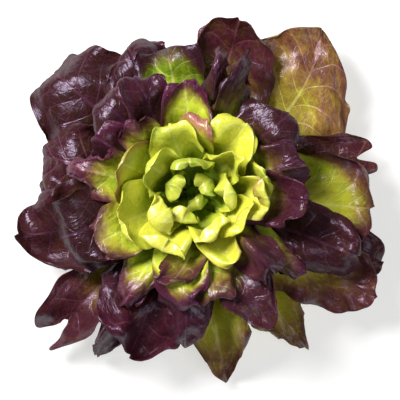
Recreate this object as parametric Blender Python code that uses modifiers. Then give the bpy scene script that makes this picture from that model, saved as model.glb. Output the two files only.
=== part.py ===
"""A head of red butterhead lettuce, standing on its cut stem with its leaves spread.

Metres, +Z up. The origin is the centre of the stem's cut face, on the surface that the head stands on.
Every leaf is a thin blade of its own, rooted on the stem. The outer leaves lie low and wide, the middle
leaves arch over them, and the heart's leaves stand round the growing tip.
"""

from collections import namedtuple
from math import pi, radians

import bmesh
import bpy
import numpy as np

# Driving dimensions.
SPREAD = 0.150  # from the stem's axis to the tip of the longest leaf
HEIGHT = 0.105  # the top of the heart
STEM_RADIUS = 0.0155  # at the cut face
STEM_TOP = 0.047
STEM_TOP_RADIUS = 0.0042
ROOT_LOW = 0.006  # where the outermost leaf grows from the stem
ROOT_HIGH = 0.043  # where the innermost leaf does
ROOT_GAP = 0.0009  # between the stem and the middle of a blade's root
BLADE = 0.0009  # a blade's thickness
FLOOR_GAP = 0.0022  # the outer leaves stay this far above the surface

# The flat blade: its petiole, and where its rounded end begins.
PETIOLE = 0.17
NECK = 1.3
BLADE_CENTRE = 0.50
CURL_FROM = 0.55
KEEL = 0.0006  # how far the midrib stands out under the blade, at its root
KEEL_WIDTH = 0.0050

# The blades are laid one on another. Each point has a distance, a bearing and an elevation, all taken from a
# centre inside the stem. Where two blades meet, the later one has the higher elevation.
CENTRE_HEIGHT = 0.020
CLEAR = 0.0013  # between the middles of two blades
RINGS = 140
RING = 0.0014
BEARINGS = 180
FINENESS = 10  # points tested between two of a blade's own
LIFTS = 30  # rounds of lifting, at most
STEEPEST = radians(84)
SPREADING = 0.4  # of a lift, to the points beside it

SEED = 11  # of the waves and dents
DENTS = 4  # crossing waves that make up a blade's dents
DENT_LENGTHS = (0.028, 0.060)

# A leaf's own numbers. Distances along the radius are shares of SPREAD and heights are shares of HEIGHT.
# Its midrib is a cubic Bezier from its root, by way of (belly, knee) and (shoulder, crest), to (reach, tip).
# Its section turns by cup, fold and roll between the midrib and each margin: positive towards the heart.
# curl turns its end over: up and back if positive. point narrows the end and notch splits it. ruffle is the
# depth of the margin's waves and dent that of the blade's dents, both as shares of SPREAD.
Leaf = namedtuple(
    "Leaf",
    "azimuth reach tip belly knee shoulder crest width cup fold roll curl point notch twist sway wrap "
    "ruffle waves dent",
)

OUTER = Leaf(
    0, 1.0, 0.06, 0.36, 0.12, 0.78, 0.40, 0.54, 12, 0, (0, 0), 0, 0, 0, 0, 0, 0.5, 0.044, 2.2, 0.036
)
MIDDLE = Leaf(
    0, 0.7, 0.45, 0.28, 0.45, 0.60, 1.05, 0.42, 15, 0, (0, 0), 0, 0.3, 0, 0, 0, 0.6, 0.044, 2.0, 0.034
)
HEART = Leaf(
    0, 0.3, 0.90, 0.36, 0.35, 0.42, 1.05, 0.36, 25, 0, (0, 0), 0, 0, 0, 0, 0, 0.8, 0.028, 1.8, 0.020
)

# Each group is listed from the leaf that lies lowest and outermost to the one nearest the heart.
OUTER_LEAVES = [
    OUTER._replace(azimuth=-20, reach=1.04, tip=0.10, width=0.36, cup=30, crest=0.30),
    OUTER._replace(azimuth=-179, reach=0.76, tip=0.12, width=0.32, cup=30),
    OUTER._replace(
        azimuth=36, reach=1.05, tip=0.30, crest=0.36, width=0.78, cup=-8, sway=16, point=0.3, ruffle=0.006
    ),
    OUTER._replace(
        azimuth=75, reach=0.95, tip=0.45, crest=0.36, width=0.54, cup=35, roll=(40, 90), curl=40
    ),
    OUTER._replace(azimuth=-54, reach=0.97, tip=0.03, width=0.44, cup=0, fold=48, point=1.1),
    OUTER._replace(azimuth=-135, reach=1.07, tip=0.04, width=0.42, cup=20, fold=34, twist=14, notch=0.5),
    OUTER._replace(azimuth=139, reach=1.04, tip=0.12, crest=0.70, width=0.66, cup=-38, curl=-50),
    OUTER._replace(
        azimuth=12, reach=0.96, tip=0.24, width=0.36, cup=10, fold=30, roll=(0, -70), notch=0.3
    ),
    OUTER._replace(azimuth=-80, reach=0.98, tip=0.05, width=0.44, cup=10, fold=40, twist=-15, point=0.8),
    OUTER._replace(azimuth=-30, reach=1.06, tip=0.20, width=0.46, cup=30, roll=(90, 30), curl=36),
    OUTER._replace(
        azimuth=114, reach=0.89, tip=0.16, crest=0.72, width=0.54, cup=-46, fold=-14, curl=-50
    ),
    OUTER._replace(
        azimuth=-121, reach=0.95, tip=0.05, width=0.30, cup=20, fold=40, twist=-25, point=0.5
    ),
    OUTER._replace(azimuth=166, reach=0.75, tip=0.22, crest=0.55, width=0.52, cup=10, roll=(-50, -30)),
    OUTER._replace(
        azimuth=-5, reach=1.01, tip=0.44, crest=0.36, width=0.64, cup=20, roll=(90, 80), curl=80
    ),
    OUTER._replace(
        azimuth=-111, reach=0.96, tip=0.26, crest=0.28, width=0.62, cup=30, roll=(120, 80), curl=80
    ),
    OUTER._replace(
        azimuth=-162, reach=0.96, tip=0.30, crest=0.20, width=0.6, cup=58, curl=40, point=0.5, sway=-5
    ),
    OUTER._replace(
        azimuth=100, reach=0.80, tip=0.40, crest=0.74, width=0.46, cup=20, roll=(-110, -100), curl=-90
    ),
    OUTER._replace(
        azimuth=-21, reach=0.97, tip=0.34, crest=0.62, width=0.42, cup=-30, fold=-14, curl=-40
    ),
]

MIDDLE_LEAVES = [
    MIDDLE._replace(azimuth=134, reach=0.76, tip=0.46, width=0.34, cup=-36, roll=(-40, -60), curl=-110),
    MIDDLE._replace(
        azimuth=-36, reach=0.83, tip=0.34, width=0.32, cup=-10, fold=-64, curl=-60, point=0.8
    ),
    MIDDLE._replace(azimuth=-161, reach=0.80, tip=0.36, width=0.42, cup=-30, roll=(-60, -50), curl=-110),
    MIDDLE._replace(azimuth=79, reach=0.72, tip=0.66, width=0.24, cup=-20, fold=-56, twist=-24),
    MIDDLE._replace(azimuth=-93, reach=0.77, tip=0.32, width=0.30, cup=6, fold=-20, twist=10, point=0.6),
    MIDDLE._replace(
        azimuth=150, reach=0.66, tip=0.50, width=0.32, cup=-10, fold=-30, twist=-34, curl=-90
    ),
    MIDDLE._replace(
        azimuth=69, reach=0.78, tip=0.56, width=0.28, cup=-10, fold=-60, point=0.7, curl=-30
    ),
    MIDDLE._replace(azimuth=39, reach=0.67, tip=0.62, width=0.42, cup=-26, roll=(-90, -70), curl=-120),
    MIDDLE._replace(azimuth=-60, reach=0.68, tip=0.48, width=0.34, cup=25, roll=(110, 110), curl=90),
    MIDDLE._replace(azimuth=-122, reach=0.70, tip=0.36, width=0.34, cup=-6, fold=-50, point=1.0),
    MIDDLE._replace(
        azimuth=117, reach=0.72, tip=0.62, width=0.32, cup=-10, roll=(-120, -90), curl=-90, twist=30
    ),
    MIDDLE._replace(azimuth=17, reach=0.64, tip=0.60, width=0.34, cup=-30, roll=(-70, -60), curl=-80),
    MIDDLE._replace(azimuth=-78, reach=0.68, tip=0.48, width=0.32, cup=-44, roll=(-40, -40), curl=-100),
    MIDDLE._replace(azimuth=168, reach=0.60, tip=0.50, width=0.40, cup=-4, fold=-46, point=0.6),
    MIDDLE._replace(
        azimuth=133, reach=0.58, tip=0.60, width=0.27, cup=-10, fold=-30, point=0.6, curl=-80
    ),
    MIDDLE._replace(
        azimuth=94, reach=0.56, tip=0.74, width=0.32, cup=-10, roll=(-120, 0), twist=28, curl=-60
    ),
    MIDDLE._replace(azimuth=-44, reach=0.58, tip=0.64, width=0.27, cup=30, roll=(100, 100)),
    MIDDLE._replace(azimuth=-4, reach=0.58, tip=0.76, width=0.36, cup=25, roll=(80, 40), curl=70),
    MIDDLE._replace(
        azimuth=-105, reach=0.60, tip=0.54, width=0.32, cup=0, fold=-20, sway=18, roll=(-60, 30)
    ),
    MIDDLE._replace(azimuth=-152, reach=0.52, tip=0.66, width=0.32, cup=10, roll=(0, -80), curl=-60),
    MIDDLE._replace(azimuth=-84, reach=0.46, tip=0.70, width=0.27, cup=0, fold=-26, sway=-30, point=0.6),
]

HEART_LEAVES = [
    HEART._replace(
        azimuth=12, reach=0.48, tip=0.66, belly=0.38, shoulder=0.44, width=0.34, cup=10, point=0.8
    ),
    HEART._replace(
        azimuth=52, reach=0.44, tip=0.76, belly=0.36, shoulder=0.36, width=0.40, cup=20, curl=-90
    ),
    HEART._replace(
        azimuth=158, reach=0.38, tip=0.84, belly=0.40, shoulder=0.40, width=0.44, roll=(-40, -80)
    ),
    HEART._replace(
        azimuth=-74, reach=0.44, tip=0.64, belly=0.36, shoulder=0.48, width=0.40, fold=30, point=0.8, sway=22
    ),
    HEART._replace(
        azimuth=-4, reach=0.36, tip=0.72, belly=0.44, shoulder=0.60, crest=0.95, width=0.38, roll=(60, 40)
    ),
    HEART._replace(
        azimuth=-157, reach=0.36, tip=0.84, belly=0.40, shoulder=0.40, width=0.44, roll=(0, -60)
    ),
    HEART._replace(
        azimuth=86, reach=0.40, tip=0.80, belly=0.30, shoulder=0.32, crest=1.0, width=0.22, cup=-20, curl=-40
    ),
    HEART._replace(azimuth=109, reach=0.33, tip=0.84, belly=0.30, shoulder=0.30, width=0.34, curl=-60),
    HEART._replace(azimuth=-30, reach=0.28, tip=0.80, belly=0.40, shoulder=0.52, crest=0.98, width=0.36),
    HEART._replace(
        azimuth=-118, reach=0.24, tip=0.84, belly=0.36, shoulder=0.44, crest=1.0, width=0.36, cup=30
    ),
    HEART._replace(
        azimuth=40, reach=0.28, tip=0.90, belly=0.26, shoulder=0.28, width=0.32, cup=0, fold=40
    ),
    HEART._replace(
        azimuth=-70, reach=0.18, tip=0.82, belly=0.34, shoulder=0.42, crest=1.0, width=0.34, sway=12
    ),
    HEART._replace(
        azimuth=148, reach=0.24, tip=0.88, belly=0.26, shoulder=0.28, width=0.34, roll=(0, 40)
    ),
    HEART._replace(
        azimuth=-148, reach=0.14, tip=0.80, belly=0.32, shoulder=0.40, crest=0.96, width=0.34, cup=30
    ),
    HEART._replace(
        azimuth=0, reach=0.14, tip=0.86, belly=0.24, shoulder=0.30, crest=0.95, width=0.28, fold=14
    ),
    HEART._replace(
        azimuth=95, reach=0.12, tip=0.84, belly=0.18, shoulder=0.20, width=0.26, roll=(0, 40), curl=30
    ),
    HEART._replace(
        azimuth=-112, reach=0.08, tip=0.74, belly=0.22, shoulder=0.28, crest=0.86, width=0.24
    ),
    HEART._replace(azimuth=160, reach=0.05, tip=0.74, belly=0.14, shoulder=0.18, crest=0.84, width=0.22),
    HEART._replace(azimuth=35, reach=0.03, tip=0.68, belly=0.11, shoulder=0.14, crest=0.78, width=0.17),
    HEART._replace(azimuth=-65, reach=0.02, tip=0.63, belly=0.09, shoulder=0.12, crest=0.72, width=0.14),
]

# Each group: its leaves, the columns and rows of a blade, and its colour and roughness.
GROUPS = {
    "outer_leaf": (OUTER_LEAVES, 8, 9, (0.095, 0.022, 0.040), 0.38),
    "middle_leaf": (MIDDLE_LEAVES, 8, 7, (0.150, 0.040, 0.060), 0.38),
    "heart_leaf": (HEART_LEAVES, 6, 7, (0.560, 0.640, 0.060), 0.42),
}
STEM_COLOUR = (0.640, 0.680, 0.380)


def smooth(share):
    """0 to 1 with level ends."""
    share = np.clip(share, 0, 1)
    return share * share * (3 - 2 * share)


def stem_radius(height):
    """The stem's radius at a height: it tapers from the cut face to its growing tip."""
    return STEM_RADIUS + (STEM_TOP_RADIUS - STEM_RADIUS) * (height / STEM_TOP) ** 1.5


def flat_blade(leaf, rows, columns):
    """The leaf laid flat: metres to the side of the midrib, and the share of its length along it."""
    u, v = np.meshgrid(np.linspace(-1, 1, columns + 1), np.linspace(0, 1, rows + 1))
    end = np.clip((v - BLADE_CENTRE) / (1 - BLADE_CENTRE), 0, 1)
    widening = PETIOLE + (1 - PETIOLE) * smooth(v / BLADE_CENTRE) ** NECK
    side = u * widening * np.sqrt(1 - end**2 / 2) * leaf.width * SPREAD / 2
    rounding = 1 - np.sqrt(1 - u**2 / 2) + leaf.point * np.abs(u) / 2
    split = leaf.notch * np.exp(-((4 * u) ** 2))
    along = v - (1 - BLADE_CENTRE) * (end**2 * rounding + end**4 * split)
    return side, along


def midrib(leaf, root, along):
    """The midrib's distance from the axis and height at each share of its length, and its heading there."""
    start = np.array([stem_radius(root) + ROOT_GAP, root])
    knee = np.array([leaf.belly * SPREAD, max(leaf.knee * HEIGHT, root)])
    crest = np.array([leaf.shoulder * SPREAD, leaf.crest * HEIGHT])
    tip = np.array([leaf.reach * SPREAD, leaf.tip * HEIGHT])
    t = np.linspace(0, 1, 200)[:, None]
    line = (1 - t) ** 3 * start + 3 * t * (1 - t) ** 2 * knee + 3 * t**2 * (1 - t) * crest + t**3 * tip
    steps = np.diff(line, axis=0)
    length = np.concatenate([[0], np.cumsum(np.hypot(*steps.T))])
    share = length / length[-1]
    middles = (share[1:] + share[:-1]) / 2
    heading = np.unwrap(np.arctan2(steps[:, 1], steps[:, 0]))
    heading += radians(leaf.curl) * smooth((middles - CURL_FROM) / (1 - CURL_FROM)) ** 2
    stride = np.hypot(*steps.T)[:, None] * np.stack([np.cos(heading), np.sin(heading)], axis=1)
    line = start + np.concatenate([[[0, 0]], np.cumsum(stride, axis=0)])
    distance = np.interp(along, share, line[:, 0])
    height = np.interp(along, share, line[:, 1])
    return distance, height, np.interp(along, middles, heading)


def section(leaf, side, along):
    """The blade's section: how far each point lies beside the midrib and stands towards the heart."""
    steps = 24
    part = side[..., None] * (np.arange(steps) + 0.5) / steps
    share = part / (leaf.width * SPREAD / 2)
    roll = np.where(share > 0, radians(leaf.roll[1]), radians(leaf.roll[0]))
    opened = smooth(along / BLADE_CENTRE)[..., None]
    turn = opened * (radians(leaf.cup) * share + radians(leaf.fold) * np.tanh(5 * share) + roll * share**4)
    beside = np.cos(turn).mean(axis=-1) * side
    proud = np.sin(turn).mean(axis=-1) * side
    return beside, proud - KEEL * np.exp(-((side / KEEL_WIDTH) ** 2)) * (1 - along)


def waves(leaf, side, along, draw):
    """The margin's waves, which die out towards the midrib and the root."""
    share = side / (leaf.width * SPREAD / 2)
    phases = draw.uniform(0, 2 * pi, 3)
    depth = leaf.ruffle * SPREAD * np.abs(share) ** 2 * smooth(along / BLADE_CENTRE)
    edge = np.sin(2 * pi * leaf.waves * along + np.where(share > 0, phases[0], phases[1]))
    end = 0.4 * leaf.ruffle * SPREAD * along**4 * np.sin(pi * leaf.waves * share + phases[2])
    return depth * edge + end


def dents(leaf, side, along, draw):
    """Broad dents, from waves that cross the blade each way. They are shallow along the midrib."""
    share = side / (leaf.width * SPREAD / 2)
    sum_of_waves = 0
    for _ in range(DENTS):
        bearing, phase = draw.uniform(0, pi), draw.uniform(0, 2 * pi)
        length = draw.uniform(*DENT_LENGTHS)
        travel = side * np.cos(bearing) + along * leaf.reach * SPREAD * np.sin(bearing)
        sum_of_waves = sum_of_waves + np.sin(2 * pi * travel / length + phase)
    depth = leaf.dent * SPREAD * (0.3 + 0.7 * share**2) * smooth(along / BLADE_CENTRE)
    return depth * sum_of_waves / np.sqrt(DENTS)


def form(leaf, root, rows, columns, draw):
    """The leaf's middle surface before it meets its neighbours, as rows by columns of points."""
    side, along = flat_blade(leaf, rows, columns)
    distance, height, heading = midrib(leaf, root, along)
    beside, proud = section(leaf, side, along)
    proud = proud + waves(leaf, side, along, draw) + dents(leaf, side, along, draw)
    twist = radians(leaf.twist) * along**2
    cosine, sine = np.cos(twist), np.sin(twist)
    beside, proud = beside * cosine - proud * sine, beside * sine + proud * cosine
    # Near the stem a blade wraps round the axis; further out it runs straight across.
    wrap = leaf.wrap + (1 - leaf.wrap) * (1 - smooth(along / BLADE_CENTRE))
    azimuth = radians(leaf.azimuth) + radians(leaf.sway) * along**2
    angle = azimuth + wrap * beside / np.maximum(distance, STEM_TOP_RADIUS)
    outwards = distance - proud * np.sin(heading)
    across = (1 - wrap) * beside
    return np.stack(
        [
            outwards * np.cos(angle) - across * np.sin(angle),
            outwards * np.sin(angle) + across * np.cos(angle),
            height + proud * np.cos(heading),
        ],
        axis=-1,
    )


def finer(count):
    """The matrix that puts FINENESS - 1 points between each two of count + 1 points."""
    places = np.linspace(0, count, FINENESS * count + 1)
    return np.maximum(0, 1 - np.abs(places[:, None] - np.arange(count + 1)))


def polar(points):
    """Each point's distance from the centre, its bearing and its elevation."""
    off_axis = np.hypot(points[..., 0], points[..., 1])
    height = points[..., 2] - CENTRE_HEIGHT
    bearing = np.arctan2(points[..., 1], points[..., 0])
    return np.hypot(off_axis, height), bearing, np.arctan2(height, off_axis)


def cell(distance, bearing):
    """The ring and the bearing's number that a point falls in."""
    ring = np.clip(distance / RING, 0, RINGS - 1).astype(int)
    return ring, np.floor((bearing + pi) / (2 * pi) * BEARINGS).astype(int) % BEARINGS


def lifted(points, lift):
    """The points turned upwards about the centre by an angle each. The root slides up the stem."""
    distance, bearing, elevation = polar(points)
    elevation = np.minimum(elevation + lift, np.maximum(elevation, STEEPEST))
    highest = np.arctan2(STEM_TOP - CENTRE_HEIGHT, STEM_TOP_RADIUS + ROOT_GAP)
    elevation[0] = np.minimum(elevation[0], highest)
    room = STEM_RADIUS
    for _ in range(3):
        room = stem_radius(np.clip(CENTRE_HEIGHT + room * np.tan(elevation[0]), 0, STEM_TOP)) + ROOT_GAP
    fade = np.linspace(1, 0, len(points))[:, None] ** 2
    distance = distance + (room / np.cos(elevation[0]) - distance[0]) * fade
    off_axis = distance * np.cos(elevation)
    height = CENTRE_HEIGHT + distance * np.sin(elevation)
    room = stem_radius(np.clip(height, 0, STEM_TOP)) + ROOT_GAP
    off_axis = np.where(height < STEM_TOP + ROOT_GAP, np.maximum(off_axis, room), off_axis)
    return np.stack([off_axis * np.cos(bearing), off_axis * np.sin(bearing), height], axis=-1)


def spread_over(field, share):
    """A field over the blade, drawn towards the mean of each point's four neighbours by a share."""
    edged = np.pad(field, 1, mode="edge")
    mean = (edged[2:, 1:-1] + edged[:-2, 1:-1] + edged[1:-1, 2:] + edged[1:-1, :-2]) / 4
    return field + share * (mean - field)


def most_near(field, rows, columns):
    """For each of the blade's own points, the most that the field reaches half a cell round it."""
    half = FINENESS // 2
    edged = np.pad(field, half)
    corners = [
        edged[i * FINENESS : i * FINENESS + 2 * half + 1, j * FINENESS : j * FINENESS + 2 * half + 1].max()
        for i in range(rows)
        for j in range(columns)
    ]
    return np.array(corners).reshape(rows, columns)


def lay(points, envelope):
    """The blade lifted clear of the envelope of those below, and the envelope with this blade in it."""
    rows, columns = points.shape[:2]
    down, across = finer(rows - 1), finer(columns - 1)
    lift = np.zeros((rows, columns))
    most = np.maximum(STEEPEST - polar(points)[2], 0)
    for _ in range(LIFTS):
        placed = lifted(points, lift)
        distance, bearing, elevation = polar(np.einsum("ij,jkd,lk->ild", down, placed, across))
        ring, sector = cell(distance, bearing)
        lack = np.maximum(envelope[ring, sector] + CLEAR / np.maximum(distance, 0.01) - elevation, 0)
        if lack.max() < 0.002:
            break
        lift = lift + most_near(lack, rows, columns)
        lift = np.minimum(np.maximum(lift, spread_over(lift, SPREADING)), most)
    own = np.full_like(envelope, -pi)
    np.maximum.at(own, (ring, sector), elevation)
    for step in (1, -1):
        own = np.maximum(own, np.roll(own, step, axis=1))
    return placed, np.maximum(envelope, own)


def stacked(blades):
    """All the blades, each laid on those before it. The first ones lie on the surface."""
    rings = np.maximum(RING * np.arange(RINGS), CENTRE_HEIGHT)
    envelope = np.tile(np.arcsin((FLOOR_GAP - CENTRE_HEIGHT) / rings)[:, None], (1, BEARINGS))
    laid = []
    for points in blades:
        placed, envelope = lay(points, envelope)
        laid.append(placed)
    return laid


def material(name, colour, roughness):
    made = bpy.data.materials.new(name)
    made.use_nodes = True
    shader = made.node_tree.nodes["Principled BSDF"]
    shader.inputs["Base Color"].default_value = (*colour, 1)
    shader.inputs["Roughness"].default_value = roughness
    shader.inputs["Metallic"].default_value = 0
    made.diffuse_color = (*colour, 1)
    return made


def add_blade(name, points, look, collection):
    """A leaf: a grid laid on its middle surface and thickened to both sides."""
    rows, columns = points.shape[0] - 1, points.shape[1] - 1
    bm = bmesh.new()
    bmesh.ops.create_grid(bm, x_segments=columns, y_segments=rows, size=1)
    for vertex in bm.verts:
        column = round((vertex.co.x + 1) / 2 * columns)
        row = round((vertex.co.y + 1) / 2 * rows)
        vertex.co = points[row, column]
    # Both faces of the blade are split along the same diagonals.
    bmesh.ops.triangulate(bm, faces=bm.faces, quad_method="FIXED")
    mesh = bpy.data.meshes.new(name)
    bm.to_mesh(mesh)
    bm.free()
    mesh.shade_smooth()
    mesh.materials.append(look)
    leaf = bpy.data.objects.new(name, mesh)
    collection.objects.link(leaf)
    shell = leaf.modifiers.new("thickness", "SOLIDIFY")
    shell.thickness = BLADE
    shell.offset = 0
    return leaf


def add_stem(collection):
    """The short stem that carries every leaf: a turned profile with its cut face down."""
    heights = np.linspace(STEM_TOP, 0, 9)
    profile = [(0, STEM_TOP + STEM_TOP_RADIUS / 2)]
    profile += [(stem_radius(height), height) for height in heights]
    profile += [(0, 0)]
    mesh = bpy.data.meshes.new("stem")
    mesh.from_pydata([(r, 0, z) for r, z in profile], [(i, i + 1) for i in range(len(profile) - 1)], [])
    mesh.materials.append(material("stem", STEM_COLOUR, 0.5))
    stem = bpy.data.objects.new("stem", mesh)
    collection.objects.link(stem)
    turned = stem.modifiers.new("turned", "SCREW")
    turned.steps = turned.render_steps = 24
    turned.use_merge_vertices = True
    turned.merge_threshold = 0.0001
    return stem


def main():
    for old in list(bpy.data.objects):
        bpy.data.objects.remove(old)
    head = bpy.data.collections.new("lettuce_head")
    bpy.context.scene.collection.children.link(head)
    add_stem(head)
    names, looks, blades = [], [], []
    total = sum(len(group[0]) for group in GROUPS.values())
    draw = np.random.default_rng(SEED)
    for group, (leaves, columns, rows, colour, roughness) in GROUPS.items():
        look = material(group, colour, roughness)
        for number, leaf in enumerate(leaves, 1):
            root = ROOT_LOW + (ROOT_HIGH - ROOT_LOW) * len(blades) / (total - 1)
            names.append(f"{group}_{number:02d}")
            looks.append(look)
            blades.append(form(leaf, root, rows, columns, draw))
    for name, points, look in zip(names, stacked(blades), looks):
        add_blade(name, points, look, head)


main()
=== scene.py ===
"""A head of red butterhead lettuce seen from straight above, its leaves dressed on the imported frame.

Metres, +Z up, in the frame's own axes. Every leaf is a fine closed shell that follows the middle surface of
the CAD blade it replaces: the margins, veins, blisters and crumples are added to that surface, as far as the
room to the next leaf lets them.

A place on a leaf is given by u and v. u goes from -1 at one margin by way of 0 at the midrib to 1 at the
other margin, and v from 0 at the stem to 1 at the blade's end. The same place in metres is called flat:
how far it lies beside the midrib, and how far along the leaf.
"""

from collections import namedtuple
from math import pi

import bpy
import numpy as np
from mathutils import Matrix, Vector, noise
from mathutils.bvhtree import BVHTree


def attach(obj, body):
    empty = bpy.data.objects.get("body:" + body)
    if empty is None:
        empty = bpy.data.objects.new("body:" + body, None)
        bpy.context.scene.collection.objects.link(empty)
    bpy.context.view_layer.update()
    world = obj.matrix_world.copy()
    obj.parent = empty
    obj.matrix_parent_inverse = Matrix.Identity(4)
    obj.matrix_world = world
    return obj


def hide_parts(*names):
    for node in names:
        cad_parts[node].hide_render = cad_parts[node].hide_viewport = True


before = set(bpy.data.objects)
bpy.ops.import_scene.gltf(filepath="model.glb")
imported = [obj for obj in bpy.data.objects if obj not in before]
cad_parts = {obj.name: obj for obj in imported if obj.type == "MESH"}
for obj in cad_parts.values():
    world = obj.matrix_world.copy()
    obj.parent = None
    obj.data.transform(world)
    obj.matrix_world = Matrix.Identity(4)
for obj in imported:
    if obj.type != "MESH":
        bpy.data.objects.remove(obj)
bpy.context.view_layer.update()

BLADE = 0.0009  # a CAD blade's thickness
WELD = 5e-6  # CAD points nearer to each other than this are one
SHELL = 0.00046  # a dressed leaf's thickness, without its midrib
SHELL_EDGE = 0.00030  # the same at its margins and its end
EDGE_FROM = 0.9  # the share of the way to an edge where the shell begins to thin
EDGE_SPAN = 0.1  # and over how much more of it
FLOOR_LEVEL = 0.0002  # dressed leaves stay above this, just off the floor
TINY = 1e-12

# The room between a leaf and what lies next to it, looked for along its normals at every other point.
RAY_START = 0.00025  # off the leaf's middle surface
FAR = 0.012  # room isn't looked for beyond this
GROUND_REACH = 0.3  # of the ground that the rays may meet, each way from the stem
SPREADING = 3  # rounds in which a narrow place narrows the places beside it
SHARE = 0.42  # of the room to the next surface that a leaf's own relief may take
LEAST_ROOM = 0.00002

# The midrib under a leaf and the groove over it are deepest at the stem. The midrib is as wide as
# RIB_WIDTH_END at the blade's end and wider by RIB_WIDTH at the stem.
RIB_DEPTH = 0.0014
RIB_WIDTH = 0.0020
RIB_WIDTH_END = 0.0008
RIB_TAPER = 1.3
RIB_SHARE = 0.8  # of the room below the leaf that its midrib may take
GROOVE_DEPTH = 0.00025
GROOVE_WIDTH = 0.0012

# How fine a shell is: columns and rows in each cell of the CAD blade. Both counts come out even.
FINE = {"outer_leaf": (8, 8), "middle_leaf": (8, 8), "heart_leaf": (9, 8)}

# Depths and lengths of a group's relief in metres: the crumples, the blisters, the quilting between side
# veins that lie vein_spacing apart, and the ruffled margins. inset is the share by which margins are nicked.
Relief = namedtuple(
    "Relief", "crumple crumple_length blister blister_length quilt vein_spacing ruffle wave inset"
)
RELIEFS = {
    "outer_leaf": Relief(0.0016, 0.034, 0.00028, 0.0060, 0.00040, 0.0165, 0.0040, 0.044, 0.050),
    "middle_leaf": Relief(0.0013, 0.028, 0.00028, 0.0055, 0.00036, 0.0135, 0.0036, 0.036, 0.055),
    "heart_leaf": Relief(0.0009, 0.026, 0.00010, 0.0050, 0.00020, 0.0100, 0.0018, 0.028, 0.050),
}

# The outline. SCALLOPS and NICKS are lengths of noise along a margin, and FRAYS those along the end on each
# side of the midrib. The end's two corners are drawn in to the midrib and back to the stem by CORNER_IN and
# CORNER_BACK, shares of the blade, from CORNER_FROM along it over CORNER_SPAN.
SCALLOPS = 3.2
SCALLOP_SIDES = 3  # sets the noise of one margin apart from the other's
NICKS = 9
NICK_SIDES = 9
FRAYS = 2.1
FRAY_SHARE = 0.6  # of the inset
CORNER_FROM = 0.55
CORNER_SPAN = 0.45
CORNER_IN = 0.10
CORNER_BACK = 0.045

# The side veins leave the midrib slanting upwards and bend towards the end.
VEIN_SLANT = 0.95
VEIN_BEND = 5.0
VEIN_STAGGER = 0.25  # of their spacing, up on one side of the midrib and down on the other
STAGGER_WIDTH = 0.003
WANDER = 0.35
WANDER_LENGTH = 0.030

# The ruffle runs on as a wave along each margin.
RUFFLE_SIDES = 1.13  # the waves of one margin are shorter than the other's by this factor
RUFFLE_SLANT = 0.6
DRIFT_LENGTH = 0.040

# Added to a leaf's number to make each of its noises another, and for the seed of its blisters.
NICK_NOISE, SMALL_CRUMPLE_NOISE, FRAY_NOISE, WANDER_NOISE, DRIFT_NOISE = 60, 100, 200, 300, 400
BLISTER_SEED = 400
NOISE_STEP = 7.31  # between one number's slice of the noise and the next
NOISE_START = 0.37
BLISTER_SCATTER = 0.42  # of a mesh of the net

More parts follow.
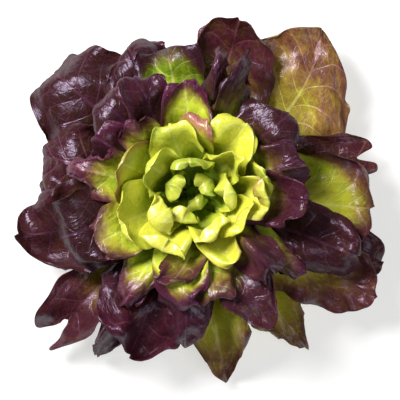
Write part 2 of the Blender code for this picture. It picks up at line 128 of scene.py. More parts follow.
# A leaf's colour: how far up it stays green, how softly that ends, how much purple it takes at most, how
# much more at its margins, how magenta its purple is, how much of its green is the lit green rather than the
# shaded one (its own lighter tone together with painted light and shade), and how pink its veins are.
Look = namedtuple("Look", "green blur most rim magenta pale pink")
LOOKS = {
    "outer_leaf_01": Look(0.27, 0.3, 0.95, 0.3, 0.30, 0.4, 0.3),
    "outer_leaf_02": Look(0.32, 0.3, 0.95, 0.3, 0.20, 0.3, 0.2),
    "outer_leaf_03": Look(0.66, 0.80, 0.54, 0.56, 0.22, 1.00, 0.90),
    "outer_leaf_04": Look(0.56, 0.50, 0.80, 0.50, 0.35, 0.70, 0.50),
    "outer_leaf_05": Look(0.84, 0.50, 0.66, 0.30, 0.10, 0.80, 0.20),
    "outer_leaf_06": Look(0.58, 0.35, 0.98, 0.50, 0.30, 0.80, 0.30),
    "outer_leaf_07": Look(0.28, 0.3, 1.05, 0.2, 0.08, 0.4, 0.30),
    "outer_leaf_08": Look(0.55, 0.40, 0.85, 0.40, 0.25, 0.70, 0.80),
    "outer_leaf_09": Look(0.84, 0.50, 0.70, 0.40, 0.30, 0.70, 0.30),
    "outer_leaf_10": Look(0.74, 0.40, 0.80, 0.90, 0.20, 0.90, 0.30),
    "outer_leaf_11": Look(0.34, 0.3, 1.05, 0.2, 0.15, 0.5, 0.3),
    "outer_leaf_12": Look(0.30, 0.4, 0.95, 0.4, 0.20, 0.4, 0.3),
    "outer_leaf_13": Look(0.46, 0.40, 0.92, 0.30, 0.20, 0.40, 0.50),
    "outer_leaf_14": Look(0.86, 0.30, 0.86, 1.05, 0.35, 0.55, 0.30),
    "outer_leaf_15": Look(0.26, 0.3, 1.00, 0.2, 0.45, 0.4, 0.4),
    "outer_leaf_16": Look(0.60, 0.40, 1.00, 0.80, 0.10, 0.60, 0.20),
    "outer_leaf_17": Look(0.84, 0.25, 1.00, 1.10, 0.20, 0.10, 0.10),
    "outer_leaf_18": Look(0.32, 0.3, 0.95, 0.3, 0.25, 0.5, 0.3),
    "middle_leaf_01": Look(0.50, 0.30, 0.97, 0.30, 0.15, 0.60, 0.10),
    "middle_leaf_02": Look(0.64, 0.30, 0.98, 0.40, 0.40, 0.70, 0.20),
    "middle_leaf_03": Look(0.44, 0.30, 1.10, 0.20, 0.06, 0.50, 0.20),
    "middle_leaf_04": Look(0.62, 0.40, 0.92, 0.30, 0.25, 0.50, 0.20),
    "middle_leaf_05": Look(0.50, 0.30, 0.95, 0.30, 0.35, 0.60, 0.20),
    "middle_leaf_06": Look(0.50, 0.30, 0.94, 0.30, 0.50, 0.60, 0.20),
    "middle_leaf_07": Look(0.62, 0.40, 0.98, 0.30, 0.20, 0.50, 0.10),
    "middle_leaf_08": Look(0.56, 0.30, 0.98, 0.30, 0.12, 0.60, 0.20),
    "middle_leaf_09": Look(0.60, 0.30, 0.88, 0.40, 0.25, 0.60, 0.20),
    "middle_leaf_10": Look(0.66, 0.30, 0.86, 0.40, 0.60, 0.90, 0.60),
    "middle_leaf_11": Look(0.48, 0.30, 1.00, 0.20, 0.25, 0.60, 0.10),
    "middle_leaf_12": Look(0.66, 0.30, 1.00, 0.30, 0.25, 0.60, 0.20),
    "middle_leaf_13": Look(0.66, 0.40, 0.74, 0.40, 0.40, 0.70, 0.40),
    "middle_leaf_14": Look(0.70, 0.30, 0.84, 0.50, 0.60, 0.80, 0.60),
    "middle_leaf_15": Look(0.74, 0.30, 0.92, 0.50, 0.50, 0.90, 0.20),
    "middle_leaf_16": Look(0.80, 0.20, 0.92, 0.70, 0.65, 0.95, 0.20),
    "middle_leaf_17": Look(0.68, 0.30, 0.92, 0.80, 0.35, 0.90, 0.20),
    "middle_leaf_18": Look(0.68, 0.30, 0.96, 0.70, 0.30, 0.80, 0.20),
    "middle_leaf_19": Look(0.78, 0.20, 0.94, 0.50, 0.65, 1.00, 0.20),
    "middle_leaf_20": Look(0.80, 0.30, 0.75, 0.40, 0.35, 1.00, 0.20),
    "middle_leaf_21": Look(0.70, 0.40, 0.76, 0.60, 0.40, 0.80, 0.50),
    "heart_leaf_01": Look(0.95, 0.30, 0.10, 0.00, 0.30, 0.70, 0.00),
    "heart_leaf_02": Look(0.95, 0.30, 0.00, 0.00, 0.30, 0.85, 0.00),
    "heart_leaf_03": Look(0.86, 0.30, 0.55, 0.50, 0.30, 0.75, 0.00),
    "heart_leaf_04": Look(0.96, 0.20, 0.50, 0.20, 0.60, 0.95, 0.10),
    "heart_leaf_05": Look(0.93, 0.20, 0.55, 0.30, 0.40, 0.90, 0.00),
    "heart_leaf_06": Look(0.98, 0.30, 0.12, 0.00, 0.30, 0.80, 0.00),
    "heart_leaf_07": Look(0.80, 0.20, 0.60, 0.40, 0.60, 0.90, 0.10),
    "heart_leaf_08": Look(1.10, 0.30, 0.00, 0.00, 0.30, 0.70, 0.00),
    "heart_leaf_09": Look(0.97, 0.20, 0.35, 0.30, 0.50, 1.00, 0.10),
    "heart_leaf_10": Look(1.10, 0.30, 0.00, 0.00, 0.30, 0.95, 0.00),
    "heart_leaf_11": Look(1.10, 0.30, 0.00, 0.00, 0.30, 0.80, 0.00),
    "heart_leaf_12": Look(1.04, 0.20, 0.30, 0.10, 0.50, 1.00, 0.00),
    "heart_leaf_13": Look(1.10, 0.30, 0.00, 0.00, 0.30, 0.65, 0.00),
    "heart_leaf_14": Look(1.10, 0.30, 0.00, 0.00, 0.30, 0.95, 0.00),
    "heart_leaf_15": Look(1.10, 0.30, 0.00, 0.00, 0.30, 0.75, 0.00),
    "heart_leaf_16": Look(1.10, 0.30, 0.00, 0.00, 0.30, 0.60, 0.00),
    "heart_leaf_17": Look(1.10, 0.30, 0.00, 0.00, 0.30, 0.85, 0.00),
    "heart_leaf_18": Look(1.10, 0.30, 0.00, 0.00, 0.30, 0.60, 0.00),
    "heart_leaf_19": Look(1.10, 0.30, 0.00, 0.00, 0.30, 0.55, 0.00),
    "heart_leaf_20": Look(1.10, 0.30, 0.00, 0.00, 0.30, 0.50, 0.00),
}

RIM_REACH = 0.30  # how much further up the leaf a margin's colour is, if its rim is 1

# The finish of a group of leaves. shaded is the green of its flesh as painted in shade, light the same green
# as painted in light, and ribs the paler green of its veins. magenta is the colour of thick pigment. kept is
# the share of red, green and blue light that full pigment lets through.
# net is the fineness of the small veins, mottle how patchy the pigment is, rough how dull the surface is,
# through how much light passes under it, sheen its gloss's colour and crease the depth of its fine folds.
Finish = namedtuple("Finish", "shaded light ribs kept magenta net mottle rough through sheen gloss crease")
FINISHES = {
    "outer_leaf": Finish(
        shaded="6a8a10",
        light="cfc93c",
        ribs="dcdc8c",
        kept=(0.068, 0.017, 0.25),
        magenta="4a1432",
        net=150.0,
        mottle=1.0,
        rough=0.27,
        through=0.05,
        sheen=(0.86, 0.72, 1.0),
        gloss=0.31,
        crease=0.30,
    ),
    "middle_leaf": Finish(
        shaded="5f8a10",
        light="c6d238",
        ribs="dbe28c",
        kept=(0.060, 0.015, 0.23),
        magenta="581640",
        net=165.0,
        mottle=1.0,
        rough=0.25,
        through=0.06,
        sheen=(0.90, 0.76, 1.0),
        gloss=0.33,
        crease=0.35,
    ),
    "heart_leaf": Finish(
        shaded="74a008",
        light="d6d540",
        ribs="e6e594",
        kept=(0.30, 0.10, 0.75),
        magenta="a8506a",
        net=190.0,
        mottle=1.1,
        rough=0.32,
        through=0.14,
        sheen=(1.0, 1.0, 0.95),
        gloss=0.80,
        crease=0.10,
    ),
}
PINK_VEIN = "96525a"
UNDER_GREY = "8f8a86"

# The studio: a pale floor that gives off a little light, two soft lamps and a faint world.
FLOOR_HALF = 3
FLOOR_GREYS = (0.48, 0.50)
FLOOR_GLOW = 0.58
LIT_PLACE = (0, 0, 0.03)  # what the lamps point at
Lamp = namedtuple("Lamp", "place size power colour")
LAMPS = {
    "key": Lamp((-0.62, 0.52, 0.95), 0.48, 27, (1.0, 0.985, 0.97)),
    "fill": Lamp((0.55, -0.35, 0.95), 0.50, 3, (0.97, 0.98, 1.0)),
}
WORLD_COLOUR = (1.0, 0.98, 0.94, 1)
WORLD_STRENGTH = 0.12

# The camera looks straight down, and its picture spans this much of the floor.
EYE = (0.0053, -0.0053, 1.5)
PICTURE_SPAN = 0.305
SENSOR = 36  # millimetres


def smooth(share):
    """0 to 1 with level ends."""
    share = np.clip(share, 0, 1)
    return share * share * (3 - 2 * share)


def tree_of(node):
    """A search tree of a CAD node's mesh."""
    mesh = node.data
    return BVHTree.FromPolygons([v.co for v in mesh.vertices], [tuple(p.vertices) for p in mesh.polygons])


def middle_mesh(node):
    """The points in the middle of a CAD blade's thickness, and the triangles between them."""
    mesh = node.data
    mesh.calc_loop_triangles()
    places = np.empty(len(mesh.vertices) * 3)
    mesh.vertices.foreach_get("co", places)
    places = places.reshape(-1, 3)
    corners = np.empty(len(mesh.loop_triangles) * 3, int)
    mesh.loop_triangles.foreach_get("vertices", corners)
    # Points that share a place become one, and each one's partner on the other face lies a BLADE away.
    first = (np.abs(places[:, None] - places[None]).max(axis=-1) < WELD).argmax(axis=1)
    kept, number = np.unique(first, return_inverse=True)
    points = places[kept]
    apart = np.linalg.norm(points[:, None] - points[None], axis=-1)
    partner = np.abs(apart - BLADE).argmin(axis=1)
    chosen, pair = np.unique(np.minimum(np.arange(len(points)), partner), return_inverse=True)
    triangles = np.sort(pair[number[corners.reshape(-1, 3)]], axis=1)
    whole = (triangles[:, 0] != triangles[:, 1]) & (triangles[:, 1] != triangles[:, 2])
    return (points[chosen] + points[partner[chosen]]) / 2, np.unique(triangles[whole], axis=0)


def border(triangles):
    """The points round the edge in order, starting at one of the four corners, and where the corners are."""
    sides = np.sort(triangles[:, [0, 1, 1, 2, 0, 2]].reshape(-1, 2), axis=1)
    sides, uses = np.unique(sides, axis=0, return_counts=True)
    beside = {}
    for a, b in sides[uses == 1]:
        beside.setdefault(a, []).append(b)
        beside.setdefault(b, []).append(a)
    around = np.bincount(triangles.ravel())
    start = next(point for point in beside if around[point] < 3)
    loop = [start, beside[start][0]]
    while True:
        onward = [point for point in beside[loop[-1]] if point != loop[-2]][0]
        if onward == start:
            break
        loop.append(onward)
    corners = [place for place, point in enumerate(loop) if around[point] < 3]
    return loop, corners


def edges(node, points, triangles, stem):
    """A blade's four edges as lists of points, counter-clockwise from the one that lies at the stem."""
    loop, corners = border(triangles)
    if len(corners) != 4:
        raise ValueError(f"{node.name} isn't a grid of triangles")
    spans = [loop[a : b + 1] for a, b in zip(corners, corners[1:])] + [loop[corners[3] :] + loop[:1]]
    away = [np.mean([stem.find_nearest(Vector(points[point]))[3] for point in span]) for span in spans]
    base = int(np.argmin(away))
    spans = spans[base:] + spans[:base]
    bearings = np.unwrap(np.arctan2(points[spans[0], 1], points[spans[0], 0]))
    if bearings[-1] < bearings[0]:
        spans = [span[::-1] for span in (spans[0], spans[3], spans[2], spans[1])]
    return spans


def fill_inside(place, triangles):
    """Inside its border, each point of such a grid lies at the mean place of those it is joined to."""
    joined = np.zeros((len(place), len(place)))
    for a, b in ((0, 1), (1, 2), (0, 2)):
        joined[triangles[:, a], triangles[:, b]] = 1
        joined[triangles[:, b], triangles[:, a]] = 1
    free = np.isnan(place[:, 0])
    pull = np.diag(joined[free].sum(axis=1)) - joined[np.ix_(free, free)]
    place[free] = np.linalg.solve(pull, joined[np.ix_(free, ~free)] @ place[~free])


def blade_points(node, stem):
    """A CAD blade's middle surface as rows, from the stem outwards, of points listed counter-clockwise."""
    points, triangles = middle_mesh(node)
    spans = edges(node, points, triangles, stem)
    columns, rows = len(spans[0]) - 1, len(spans[1]) - 1
    place = np.full((len(points), 2), np.nan)
    place[spans[0]] = [(0, j) for j in range(columns + 1)]
    place[spans[1]] = [(i, columns) for i in range(rows + 1)]
    place[spans[2]] = [(rows, columns - j) for j in range(columns + 1)]
    place[spans[3]] = [(rows - i, 0) for i in range(rows + 1)]
    fill_inside(place, triangles)
    place = np.rint(place).astype(int)
    grid = np.full((rows + 1, columns + 1, 3), np.nan)
    grid[place[:, 0], place[:, 1]] = points
    if np.isnan(grid).any():
        raise ValueError(f"{node.name} has places without a point")
    return grid


def spline(count, places):
    """For each place from 0 to count, the weights of count + 1 points on a natural cubic spline."""
    own = np.eye(count + 1)
    bend = np.zeros((count + 1, count + 1))
    system = 4 * np.eye(count - 1) + np.eye(count - 1, k=1) + np.eye(count - 1, k=-1)
    bend[1:-1] = np.linalg.solve(system, 6 * (own[:-2] - 2 * own[1:-1] + own[2:]))
    cell = np.clip(places.astype(int), 0, count - 1)
    b = (places - cell)[:, None]
    a = 1 - b
    curve = (a**3 - a) * bend[cell] + (b**3 - b) * bend[cell + 1]
    return a * own[cell] + b * own[cell + 1] + curve / 6


def perlin(coordinates, length, number):
    """Smooth noise of about -1 to 1 with that length, another for each number."""
    flat = coordinates.reshape(-1, 2) / length
    slice_height = NOISE_STEP * number + NOISE_START
    values = [noise.noise((x, y, slice_height)) for x, y in flat]
    return np.array(values).reshape(coordinates.shape[:-1])


def cells(coordinates, length, draw):
    """0 on the borders of an irregular net with meshes of that length, and 1 inside them."""
    flat = coordinates.reshape(-1, 2)
    low, high = flat.min(axis=0) - length, flat.max(axis=0) + length
    steps = [np.arange(low[axis], high[axis], length) for axis in (0, 1)]
    seeds = np.stack(np.meshgrid(*steps), axis=-1).reshape(-1, 2)
    seeds = seeds + draw.uniform(-BLISTER_SCATTER, BLISTER_SCATTER, seeds.shape) * length
    away = np.linalg.norm(flat[:, None] - seeds[None], axis=-1)
    away.partition(1, axis=1)
    inside = (away[:, 1] - away[:, 0]) / length
    return smooth(inside * 1.7).reshape(coordinates.shape[:-1])


def travelled(points, axis):
    """The way along the surface to each point, from the first of its row or column."""
    steps = np.linalg.norm(np.diff(points, axis=axis), axis=-1)
    start = np.zeros_like(np.take(steps, [0], axis=axis))
    return np.concatenate([start, np.cumsum(steps, axis=axis)], axis=axis)


def upwards(points):
    """The surface's normals, on the side that faces the heart."""
    across = np.gradient(points, axis=1)
    along = np.gradient(points, axis=0)
    normal = np.cross(along, across)
    return normal / np.maximum(np.linalg.norm(normal, axis=-1, keepdims=True), TINY)


def outline(u, v, number, inset):
    """The shares by which each place is drawn in to the midrib and back to the stem."""
    side = np.sign(u)
    scallops = perlin(np.stack([SCALLOP_SIDES * side, v * SCALLOPS], axis=-1), 1, number) * 0.5 + 0.5
    nicks = perlin(np.stack([NICK_SIDES * side, v * NICKS], axis=-1), 1, number + NICK_NOISE)
    scallops = scallops * (0.7 + 0.5 * nicks)
    frays = perlin(np.stack([u * FRAYS, 0 * v], axis=-1), 1, number + FRAY_NOISE) * 0.5 + 0.5
    end = smooth((v - CORNER_FROM) / CORNER_SPAN)
    narrowed = inset * scallops * np.abs(u) ** 3 * smooth(v / 0.3) + CORNER_IN * end**2 * u**4
    shortened = FRAY_SHARE * inset * frays * v**4 + CORNER_BACK * end**2 * u**4
    return narrowed, shortened


class Surface:
    """A leaf's middle surface, finely divided, with what its relief and its colour depend on."""

    def __init__(self, name, number, grid):
        self.name = name
        self.number = number
        self.group = name[:-3]
        self.look = LOOKS[name]
        self.relief = RELIEFS[self.group]
        self.draw = np.random.default_rng(BLISTER_SEED + number)
        rows, columns = grid.shape[0] - 1, grid.shape[1] - 1
        fine_columns, fine_rows = FINE[self.group]
        across = np.linspace(-1, 1, columns * fine_columns + 1)
        outwards = np.linspace(0, 1, rows * fine_rows + 1)
        u, v = self.u, self.v = np.meshgrid(across, outwards)
        narrowed, shortened = outline(u, v, number, self.relief.inset)
        column = (u * (1 - narrowed) + 1) / 2 * columns
        row = v * (1 - shortened) * rows
        up, side = spline(rows, row.ravel()), spline(columns, column.ravel())
        self.middle = np.einsum("ni,ijk,nj->nk", up, grid, side).reshape(*u.shape, 3)
        self.normal = upwards(self.middle)
        self.flat = self.flattened()

    def flattened(self):
        """(beside the midrib, along the leaf) of each point, in metres on the surface."""
        beside = travelled(self.middle, 1)
        beside = beside - beside[:, [self.u.shape[1] // 2]]
        return np.stack([beside, travelled(self.middle, 0)], axis=-1)

    def phase(self):
        """Counts the side veins: it passes a whole number on each."""
        beside, along = self.flat[..., 0], self.flat[..., 1]
        wander = perlin(self.flat, WANDER_LENGTH, self.number + WANDER_NOISE)
        away = np.abs(beside)
        slant = along - VEIN_SLANT * away + VEIN_BEND * away**2
        stagger = VEIN_STAGGER * np.tanh(beside / STAGGER_WIDTH)
        return slant / self.relief.vein_spacing + stagger + WANDER * wander

    def crumples(self):
        """Large and small ones, which fade towards the stem and the midrib."""
        length = self.relief.crumple_length
        large = perlin(self.flat, length, self.number)
        both = large + 0.5 * perlin(self.flat, length * 0.45, self.number + SMALL_CRUMPLE_NOISE)
        outer = smooth(self.v / 0.45) * (0.45 + 0.55 * np.abs(self.u))
        return self.relief.crumple * both * outer

    def quilting(self):
        """The blade bulges between its side veins and is drawn in along them."""
        vein = np.abs((self.phase() + 0.5) % 1 - 0.5) * 2
        quilt = (smooth(vein * 1.5) - 0.7) * (1 - self.u**4) * smooth(self.v / 0.3)
        return self.relief.quilt * quilt

    def blisters(self):
        """Small bulges in the meshes of a net of veins."""
        net = cells(self.flat, self.relief.blister_length, self.draw) - 0.6
        return self.relief.blister * net * smooth(self.v / 0.4)

    def ruffles(self):
        """The margin's waves, uneven in length and depth."""
        u, v = self.u, self.v
        margin = np.maximum(np.abs(u) ** 4 * smooth((v - 0.15) / 0.4), v**7)
        way = self.flat[..., 1] * np.where(u > 0, 1, RUFFLE_SIDES) + RUFFLE_SLANT * self.flat[..., 0]
        drift = perlin(self.flat, DRIFT_LENGTH, self.number + DRIFT_NOISE)
        depth = 0.6 + 0.6 * np.abs(drift)
        ruffle = np.sin(2 * pi * way / self.relief.wave + 2.0 * drift + self.number) * depth
        return self.relief.ruffle * ruffle * margin

    def wanted(self):
        """How far the relief would move each point along its normal, with room enough."""
        return self.crumples() + self.quilting() + self.blisters() + self.ruffles()

    def purple(self):
        """How much pigment each point has: none at the stem and the most at the end and the margins."""
        look, u, v = self.look, self.u, self.v
        far = v + RIM_REACH * look.rim * np.abs(u) ** 2.5 * smooth(v / 0.3)
        return look.most * smooth((far - look.green) / look.blur + 0.5)


def between(field, axis):
    """The field with the mean of each two neighbours put in between them."""
    count = field.shape[axis]
    halfway = (np.take(field, range(count - 1), axis) + np.take(field, range(1, count), axis)) / 2
    return np.insert(field, np.arange(1, count), halfway, axis=axis)


def room(surface, tree, sign):
    """How far each point may move along its normal, or against it, without meeting what lies there."""
    start = (surface.middle + sign * RAY_START * surface.normal)[::2, ::2]
    heading = (sign * surface.normal)[::2, ::2]
    gaps = np.full(start.shape[:2], FAR)
    for place in np.ndindex(gaps.shape):
        hit = tree.ray_cast(Vector(start[place]), Vector(heading[place]), FAR)
        if hit[0] is not None:
            gaps[place] = hit[3]
    edged = np.pad(gaps, 1, mode="edge")
    rows, columns = gaps.shape
    least = np.min([edged[i : i + rows, j : j + columns] for i in range(3) for j in range(3)], axis=0)
    for _ in range(SPREADING):
        edged = np.pad(least, 1, mode="edge")
        mean = (edged[2:, 1:-1] + edged[:-2, 1:-1] + edged[1:-1, 2:] + edged[1:-1, :-2]) / 4
        least = np.minimum(least, mean)
    least = between(between(least, 0), 1)
    return np.maximum(SHARE * (least - SHELL / 2), LEAST_ROOM)


def shell_points(surface, tree):
    """The points of the leaf's upper face and, in the same order, those of its under face."""
    above, below = room(surface, tree, 1), room(surface, tree, -1)
    wanted = surface.wanted()
    moved = np.where(wanted > 0, above * np.tanh(wanted / above), below * np.tanh(wanted / below))
    middle = surface.middle + moved[..., None] * surface.normal
    middle[..., 2] = np.maximum(middle[..., 2], FLOOR_LEVEL + SHELL / 2)
    normal = upwards(middle)
    u, v = surface.u, surface.v
    beside = surface.flat[..., 0]
    edge = smooth((np.maximum(np.abs(u), v) - EDGE_FROM) / EDGE_SPAN)
    half = (SHELL + (SHELL_EDGE - SHELL) * edge) / 2
    rib_width = RIB_WIDTH_END + RIB_WIDTH * (1 - v)
    rib = RIB_DEPTH * (1 - v) ** RIB_TAPER * np.exp(-((beside / rib_width) ** 2))
    rib = np.minimum(rib, np.maximum(below + np.minimum(moved, 0), 0) * RIB_SHARE)
    groove = GROOVE_DEPTH * (1 - v) * np.exp(-((beside / GROOVE_WIDTH) ** 2)) * smooth(v / 0.2)
    upper = middle + (half - groove)[..., None] * normal
    under = middle - (half + rib)[..., None] * normal
    under[..., 2] = np.maximum(under[..., 2], FLOOR_LEVEL)
    return np.concatenate([upper.reshape(-1, 3), under.reshape(-1, 3)])


def shell_faces(rows, columns):
    """The faces of a shell over rows by columns of points: above, below and round the edge."""
    count = rows * columns
    number = np.arange(count).reshape(rows, columns)
    a, b, c, d = number[:-1, :-1], number[:-1, 1:], number[1:, 1:], number[1:, :-1]
    top = np.stack([a, d, c, b], axis=-1).reshape(-1, 4)
    bottom = np.stack([a, b, c, d], axis=-1).reshape(-1, 4) + count
    around = np.concatenate([number[0, :-1], number[:-1, -1], number[-1, :0:-1], number[:0:-1, 0]])
    onward = np.roll(around, -1)
    rim = np.stack([around, onward, onward + count, around + count], axis=-1)
    return np.concatenate([top, bottom, rim])


def lay_out(mesh, surface, faces):
    """The mesh's UV map: the upper face fills its left half and the under face its right half."""
    count = surface.u.size
    corners = faces.ravel()
    side = corners >= count
    own = corners % count
    across = (surface.u.ravel()[own] + 1) / 2
    places = np.stack([0.02 + 0.46 * across + 0.5 * side, 0.02 + 0.96 * surface.v.ravel()[own]], axis=-1)
    mesh.uv_layers.new(name="UVMap").data.foreach_set("uv", places.ravel())


def store(mesh, name, *fields):
    """Keeps three fields over the leaf as one vector attribute, the same on both of its faces."""
    values = np.stack([np.tile(field.ravel(), 2) for field in fields], axis=-1)
    mesh.attributes.new(name, "FLOAT_VECTOR", "POINT").data.foreach_set("vector", values.ravel())


def shell_mesh(surface, tree):
    """The leaf as a closed shell, with the attributes that its material reads."""
    rows, columns = surface.u.shape
    count = rows * columns
    faces = shell_faces(rows, columns)
    mesh = bpy.data.meshes.new(surface.name + "_dressed")
    mesh.from_pydata(shell_points(surface, tree).tolist(), [], faces.tolist())
    lay_out(mesh, surface, faces)

    look, everywhere = surface.look, np.ones(count)
    store(mesh, "flat", surface.flat[..., 0], surface.flat[..., 1], surface.phase())
    upper = np.concatenate([everywhere, 0 * everywhere])
    shape = np.stack([np.tile(np.abs(surface.u).ravel(), 2), np.tile(surface.v.ravel(), 2), upper], axis=-1)
    mesh.attributes.new("shape", "FLOAT_VECTOR", "POINT").data.foreach_set("vector", shape.ravel())
    # The stain's third part is each leaf's share of lit green over shaded green: its own lighter tone
    # together with painted light and shade.
    store(mesh, "stain", surface.purple(), look.magenta * everywhere, look.pale * everywhere)
    mesh.attributes.new("pink", "FLOAT", "POINT").data.foreach_set("value", np.full(2 * count, look.pink))
    mesh.shade_smooth()
    mesh.update()
    return mesh


def linear(text):
    """A colour of six hexadecimal digits as linear red, green and blue."""
    parts = np.array([int(text[place : place + 2], 16) / 255 for place in (0, 2, 4)])
    return tuple(np.where(parts > 0.04045, ((parts + 0.055) / 1.055) ** 2.4, parts / 12.92))


class Graph:
    """A material in the making. An input is a number, a colour or another node's output."""

    def __init__(self, name):
        self.material = bpy.data.materials.new(name)
        self.material.use_nodes = True
        self.tree = self.material.node_tree
        self.shader = self.tree.nodes["Principled BSDF"]

    def put(self, socket, value):
        """Links an output to the socket, or sets the socket's own value."""
        if isinstance(value, bpy.types.NodeSocket):
            self.tree.links.new(value, socket)
        elif isinstance(value, (tuple, list)) and len(value) == 3 and socket.type == "RGBA":
            socket.default_value = (*value, 1)
        else:
            socket.default_value = value

    def finished(self, inputs):
        """The material, with the shader's inputs filled by name."""
        for name, value in inputs.items():
            self.put(self.shader.inputs[name], value)
        return self.material

    def add(self, kind, inputs, output=0, **settings):
        """A new node's output."""
        node = self.tree.nodes.new(kind)
        for name, value in settings.items():
            setattr(node, name, value)
        for key, value in inputs.items():
            self.put(node.inputs[key], value)
        return node.outputs[output]

    def maths(self, operation, *values, clamp=False):
        return self.add("ShaderNodeMath", dict(enumerate(values)), operation=operation, use_clamp=clamp)

    def plus(self, a, b, clamp=False):
        return self.maths("ADD", a, b, clamp=clamp)

    def less(self, a, b, clamp=False):
        return self.maths("SUBTRACT", a, b, clamp=clamp)

    def times(self, a, b, clamp=False):
        return self.maths("MULTIPLY", a, b, clamp=clamp)

    def step(self, value, low, high, to_low=0.0, to_high=1.0):
        """to_low up to low and to_high from high, with a smooth change between them."""
        inputs = {"Value": value, "From Min": low, "From Max": high, "To Min": to_low, "To Max": to_high}
        return self.add("ShaderNodeMapRange", inputs, interpolation_type="SMOOTHSTEP")

    def mix(self, share, a, b, blend="MIX"):
        """The colour a with that share of the colour b."""
        node = self.tree.nodes.new("ShaderNodeMix")
        node.data_type = "RGBA"
        node.blend_type = blend
        for key, value in ((0, share), (6, a), (7, b)):
            self.put(node.inputs[key], value)
        return node.outputs[2]

    def attribute(self, name):
        """The outputs of a mesh attribute."""
        node = self.tree.nodes.new("ShaderNodeAttribute")
        node.attribute_name = name
        return node.outputs

    def parts(self, vector):
        """A vector's three parts."""
        node = self.tree.nodes.new("ShaderNodeSeparateXYZ")
        self.tree.links.new(vector, node.inputs[0])
        return node.outputs

    def stretched(self, vector, factors):
        return self.add("ShaderNodeVectorMath", {0: vector, 1: factors}, operation="MULTIPLY")

    def noise(self, vector, scale, detail=3.0, rough=0.55, distortion=0.0):
        inputs = {
            "Vector": vector,
            "Scale": scale,
            "Detail": detail,
            "Roughness": rough,
            "Distortion": distortion,
        }
        return self.add("ShaderNodeTexNoise", inputs)

    def bump(self, height, strength):
        """Normals for a surface with that height."""
        return self.add("ShaderNodeBump", {"Height": height, "Strength": strength, "Distance": 0.0008})


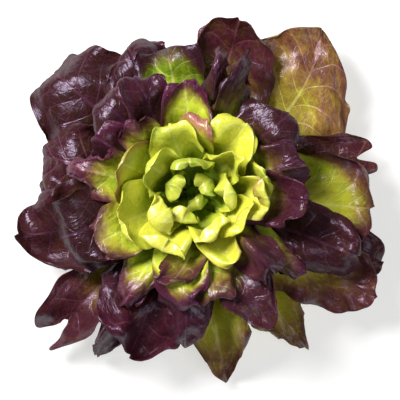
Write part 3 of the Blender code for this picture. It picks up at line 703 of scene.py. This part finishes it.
class LeafGraph(Graph):
    """The material of a group of leaves. Each leaf's own colours come with its mesh."""

    def __init__(self, name, finish):
        super().__init__(name)
        self.finish = finish
        self.beside, self.along, self.phase = self.parts(self.attribute("flat")["Vector"])
        self.across, self.outwards, self.upper = self.parts(self.attribute("shape")["Vector"])
        self.stain, self.magenta, self.pale_and_lit_share = self.parts(self.attribute("stain")["Vector"])
        self.pink = self.attribute("pink")["Fac"]
        # The two faces and the different leaves lie apart in the noises.
        plane = {0: self.beside, 1: self.along, 2: self.times(self.upper, 0.05)}
        own = self.add("ShaderNodeObjectInfo", {}, output="Random")
        self.where = self.add(
            "ShaderNodeVectorMath", {0: self.add("ShaderNodeCombineXYZ", plane), 1: own}, operation="ADD"
        )
        self.broad = self.noise(self.where, 62.0, detail=4.0, rough=0.6)
        self.middling = self.noise(self.where, 210.0, detail=4.0, rough=0.6)
        self.fine = self.noise(self.where, 900.0, rough=0.6)
        self.vein = self.veins()

    def upper_step(self, under, upper):
        """One value on the under face and another on the upper face."""
        return self.step(self.upper, 0.0, 1.0, under, upper)

    def midrib(self):
        width = self.step(self.outwards, 0.0, 1.0, 0.0026, 0.0005)
        away = self.maths("DIVIDE", self.maths("ABSOLUTE", self.beside), width)
        return self.step(away, 0.6, 1.3, 1.0, 0.0)

    def side_veins(self):
        """They fade towards the margins."""
        turn = self.maths("FRACT", self.plus(self.phase, 0.5))
        off = self.maths("ABSOLUTE", self.less(turn, 0.5))
        vein = self.step(off, 0.012, 0.050, 1.0, 0.0)
        return self.times(vein, self.step(self.across, 0.35, 0.95, 1.0, 0.0))

    def small_veins(self):
        """An irregular net whose threads waver."""
        wavering = self.add("ShaderNodeTexNoise", {"Vector": self.where, "Scale": 170.0}, output="Color")
        shift = self.add("ShaderNodeVectorMath", {0: wavering, "Scale": 0.0022}, operation="SCALE")
        shifted = self.add("ShaderNodeVectorMath", {0: self.where, 1: shift}, operation="ADD")
        inputs = {"Vector": shifted, "Scale": self.finish.net, "Randomness": 1.0}
        net = self.add("ShaderNodeTexVoronoi", inputs, feature="DISTANCE_TO_EDGE")
        return self.step(net, 0.0, 0.075, 1.0, 0.0)

    def veins(self):
        """1 on the midrib and the side veins, less on the small veins, and 0 beside them all."""
        smaller = self.maths("MAXIMUM", self.side_veins(), self.times(self.small_veins(), 0.45))
        return self.maths("MAXIMUM", self.midrib(), smaller)

    def flesh(self):
        """The green under the pigment: its painted shade and painted light mixed by each leaf's share, which
        also holds the leaf's own lighter tone, with paler veins, streaked along the leaf, and painted shade
        near the stem.
        """
        shaded = linear(self.finish.shaded)
        streaks = self.noise(self.stretched(self.where, (900.0, 60.0, 60.0)), 1.0, detail=2.0)
        # Painted light and shade: each leaf's share, varied by noise, mixes the green painted in shade with
        # the green painted in light; the share also holds the leaf's own lighter tone.
        pale = self.plus(self.pale_and_lit_share, self.step(self.broad, 0.3, 0.7, -0.22, 0.22))
        pale = self.plus(pale, self.step(streaks, 0.3, 0.7, -0.08, 0.08), clamp=True)
        flesh = self.mix(pale, shaded, linear(self.finish.light))
        flesh = self.mix(self.times(self.vein, 0.35), flesh, linear(self.finish.ribs))
        # Painted shade: towards the stem the flesh turns to its shaded green, where the head is deep.
        return self.mix(self.step(self.outwards, 0.10, 0.65, 0.75, 0.0), flesh, shaded)

    def purple(self):
        """How much pigment there is: patchy where there is any, with less on veins and on the under face."""
        patches = self.plus(self.less(self.broad, 0.5), self.times(self.less(self.middling, 0.5), 0.7))
        stained = self.maths("MINIMUM", self.times(self.stain, 2.5), 1.0)
        patches = self.times(patches, self.times(stained, self.finish.mottle))
        purple = self.less(self.plus(self.stain, patches), self.upper_step(0.14, 0.0))
        return self.less(purple, self.times(self.times(self.vein, 0.18), self.pink), clamp=True)

    def blush(self, purple):
        """Where the pigment is thick it turns magenta, most of all at the margins."""
        blush = self.times(self.magenta, self.step(purple, 0.25, 0.85))
        blush = self.times(blush, self.step(self.middling, 0.25, 0.75, 0.6, 1.0))
        margin = self.maths("MAXIMUM", self.across, self.outwards)
        return self.times(blush, self.step(margin, 0.45, 0.95, 0.30, 1.05), clamp=True)

    def colour(self):
        """The red pigment takes light away from the green under it, so a thin layer looks olive or brown."""
        purple = self.purple()
        kept = [self.maths("POWER", part, purple) for part in self.finish.kept]
        veil = self.add("ShaderNodeCombineColor", dict(enumerate(kept)))
        base = self.mix(1.0, self.flesh(), veil, blend="MULTIPLY")
        base = self.mix(self.blush(purple), base, linear(self.finish.magenta))
        pinked = self.times(self.times(self.vein, self.pink), self.step(self.stain, 0.05, 0.45, 0.10, 0.32))
        base = self.mix(pinked, base, linear(PINK_VEIN))
        base = self.mix(self.upper_step(0.05, 0.0), base, linear(UNDER_GREY))
        darker = self.mix(1.0, base, (0.55, 0.55, 0.55), blend="MULTIPLY")
        return self.mix(self.step(self.fine, 0.3, 0.7, 0.0, 0.12), base, darker)

    def roughness(self):
        """Uneven, and duller where the surface is seen at a slant."""
        rough = self.finish.rough
        facing = self.add("ShaderNodeLayerWeight", {"Blend": 0.5}, output="Facing")
        uneven = self.step(self.middling, 0.3, 0.7, rough - 0.06, rough + 0.08)
        return self.plus(uneven, self.step(facing, 0.45, 0.95, 0.0, 0.45))

    def height(self):
        """Grain, fine folds, and veins that are sunk in the upper face and stand out on the under face."""
        height = self.plus(self.times(self.middling, 0.55), self.times(self.fine, 0.12))
        folds = self.noise(self.stretched(self.where, (1.0, 0.45, 1.0)), 130.0, 2.0, 0.5, 0.6)
        folds = self.step(self.maths("ABSOLUTE", self.less(folds, 0.5)), 0.0, 0.07, 1.0, 0.0)
        height = self.plus(height, self.times(folds, self.finish.crease))
        return self.less(height, self.times(self.vein, self.upper_step(-0.45, 0.45)))


def leaf_material(name, finish):
    g = LeafGraph(name, finish)
    return g.finished(
        {
            "Base Color": g.colour(),
            "Roughness": g.roughness(),
            "Normal": g.bump(g.height(), 0.40),
            "Subsurface Weight": finish.through,
            "Subsurface Radius": (1.0, 0.9, 0.25),
            "Subsurface Scale": 0.003,
            "Specular Tint": finish.sheen,
            "Specular IOR Level": finish.gloss,
        }
    )


def stem_material():
    """Pale fibres, browned at the cut face and green at the growing tip."""
    g = Graph("stem")
    place = g.add("ShaderNodeTexCoord", {}, output="Object")
    level = g.parts(place)[2]
    fibres = g.noise(g.stretched(place, (600.0, 600.0, 60.0)), 1.0)
    blotch = g.noise(place, 160.0, detail=4.0, rough=0.6)
    base = g.mix(g.step(fibres, 0.3, 0.7), linear("a9b56c"), linear("d5d9a8"))
    cut = g.mix(g.step(blotch, 0.35, 0.65), linear("b98a5c"), linear("d9c08f"))
    base = g.mix(g.step(level, 0.0005, 0.0030, 1.0, 0.0), base, cut)
    return g.finished(
        {
            "Base Color": g.mix(g.step(level, 0.030, 0.042), base, linear("6f8f1c")),
            "Roughness": g.step(blotch, 0.3, 0.7, 0.45, 0.65),
            "Normal": g.bump(g.plus(fibres, g.times(blotch, 0.6)), 0.5),
            "Subsurface Weight": 0.15,
            "Subsurface Scale": 0.004,
        }
    )


def floor_material():
    g = Graph("floor")
    grain = g.noise(g.add("ShaderNodeTexCoord", {}, output="Object"), 14.0)
    darker, lighter = ((grey, grey, grey) for grey in FLOOR_GREYS)
    return g.finished(
        {
            "Base Color": g.mix(grain, darker, lighter),
            "Roughness": 0.8,
            "Emission Color": (1.0, 1.0, 1.0),
            "Emission Strength": FLOOR_GLOW,
        }
    )


def link(name, data):
    """A new object of the scene."""
    thing = bpy.data.objects.new(name, data)
    bpy.context.scene.collection.objects.link(thing)
    return thing


def square(half, level):
    """The corners of a level square round the stem."""
    return [(-half, -half, level), (half, -half, level), (half, half, level), (-half, half, level)]


def room_tree(surfaces):
    """A search tree of all the leaves' middle surfaces and of the ground."""
    points, faces = [], []
    for surface in surfaces:
        rows, columns = surface.u.shape
        number = np.arange(rows * columns).reshape(rows, columns) + len(points)
        points.extend(map(tuple, surface.middle.reshape(-1, 3)))
        quads = np.stack([number[:-1, :-1], number[1:, :-1], number[1:, 1:], number[:-1, 1:]], axis=-1)
        faces.extend(map(tuple, quads.reshape(-1, 4)))
    ground = len(points)
    points.extend(square(GROUND_REACH, FLOOR_LEVEL))
    faces.append((ground, ground + 1, ground + 2, ground + 3))
    return BVHTree.FromPolygons(points, faces)


def dress_stem():
    """The stem as it is, in its own finish."""
    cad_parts["stem"].material_slots[0].material = stem_material()


def dress_leaves():
    """Every blade of the frame gives way to its dressed leaf."""
    stem = tree_of(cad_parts["stem"])
    names = sorted(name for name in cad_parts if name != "stem")
    surfaces = [Surface(name, n, blade_points(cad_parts[name], stem)) for n, name in enumerate(names)]
    looks = {group: leaf_material(group, finish) for group, finish in FINISHES.items()}
    tree = room_tree(surfaces)
    for surface in surfaces:
        mesh = shell_mesh(surface, tree)
        mesh.materials.append(looks[surface.group])
        leaf = link(surface.name + "_dressed", mesh)
        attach(leaf, "root")
        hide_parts(surface.name)


def floor():
    mesh = bpy.data.meshes.new("floor")
    mesh.from_pydata(square(FLOOR_HALF, 0), [], [(0, 1, 2, 3)])
    mesh.materials.append(floor_material())
    ground = link("floor", mesh)


def lights():
    for name, lamp in LAMPS.items():
        light = bpy.data.lights.new(name, "AREA")
        light.shape = "SQUARE"
        light.size = lamp.size
        light.energy = lamp.power
        light.color = lamp.colour
        stand = link(name, light)
        stand.location = lamp.place
        stand.rotation_euler = (Vector(LIT_PLACE) - Vector(lamp.place)).to_track_quat("-Z", "Y").to_euler()


def studio():
    """The faint light from all round. White stays white in the picture."""
    world = bpy.data.worlds.new("studio")
    world.use_nodes = True
    back = world.node_tree.nodes["Background"]
    back.inputs[0].default_value = WORLD_COLOUR
    back.inputs[1].default_value = WORLD_STRENGTH
    bpy.context.scene.world = world
    bpy.context.scene.view_settings.view_transform = "Standard"


def camera():
    lens = bpy.data.cameras.new("camera")
    lens.sensor_width = SENSOR
    lens.lens = SENSOR * EYE[2] / PICTURE_SPAN
    lens.clip_end = 20
    eye = link("camera", lens)
    eye.location = EYE
    bpy.context.scene.camera = eye


camera()
dress_stem()
dress_leaves()
floor()
lights()
studio()
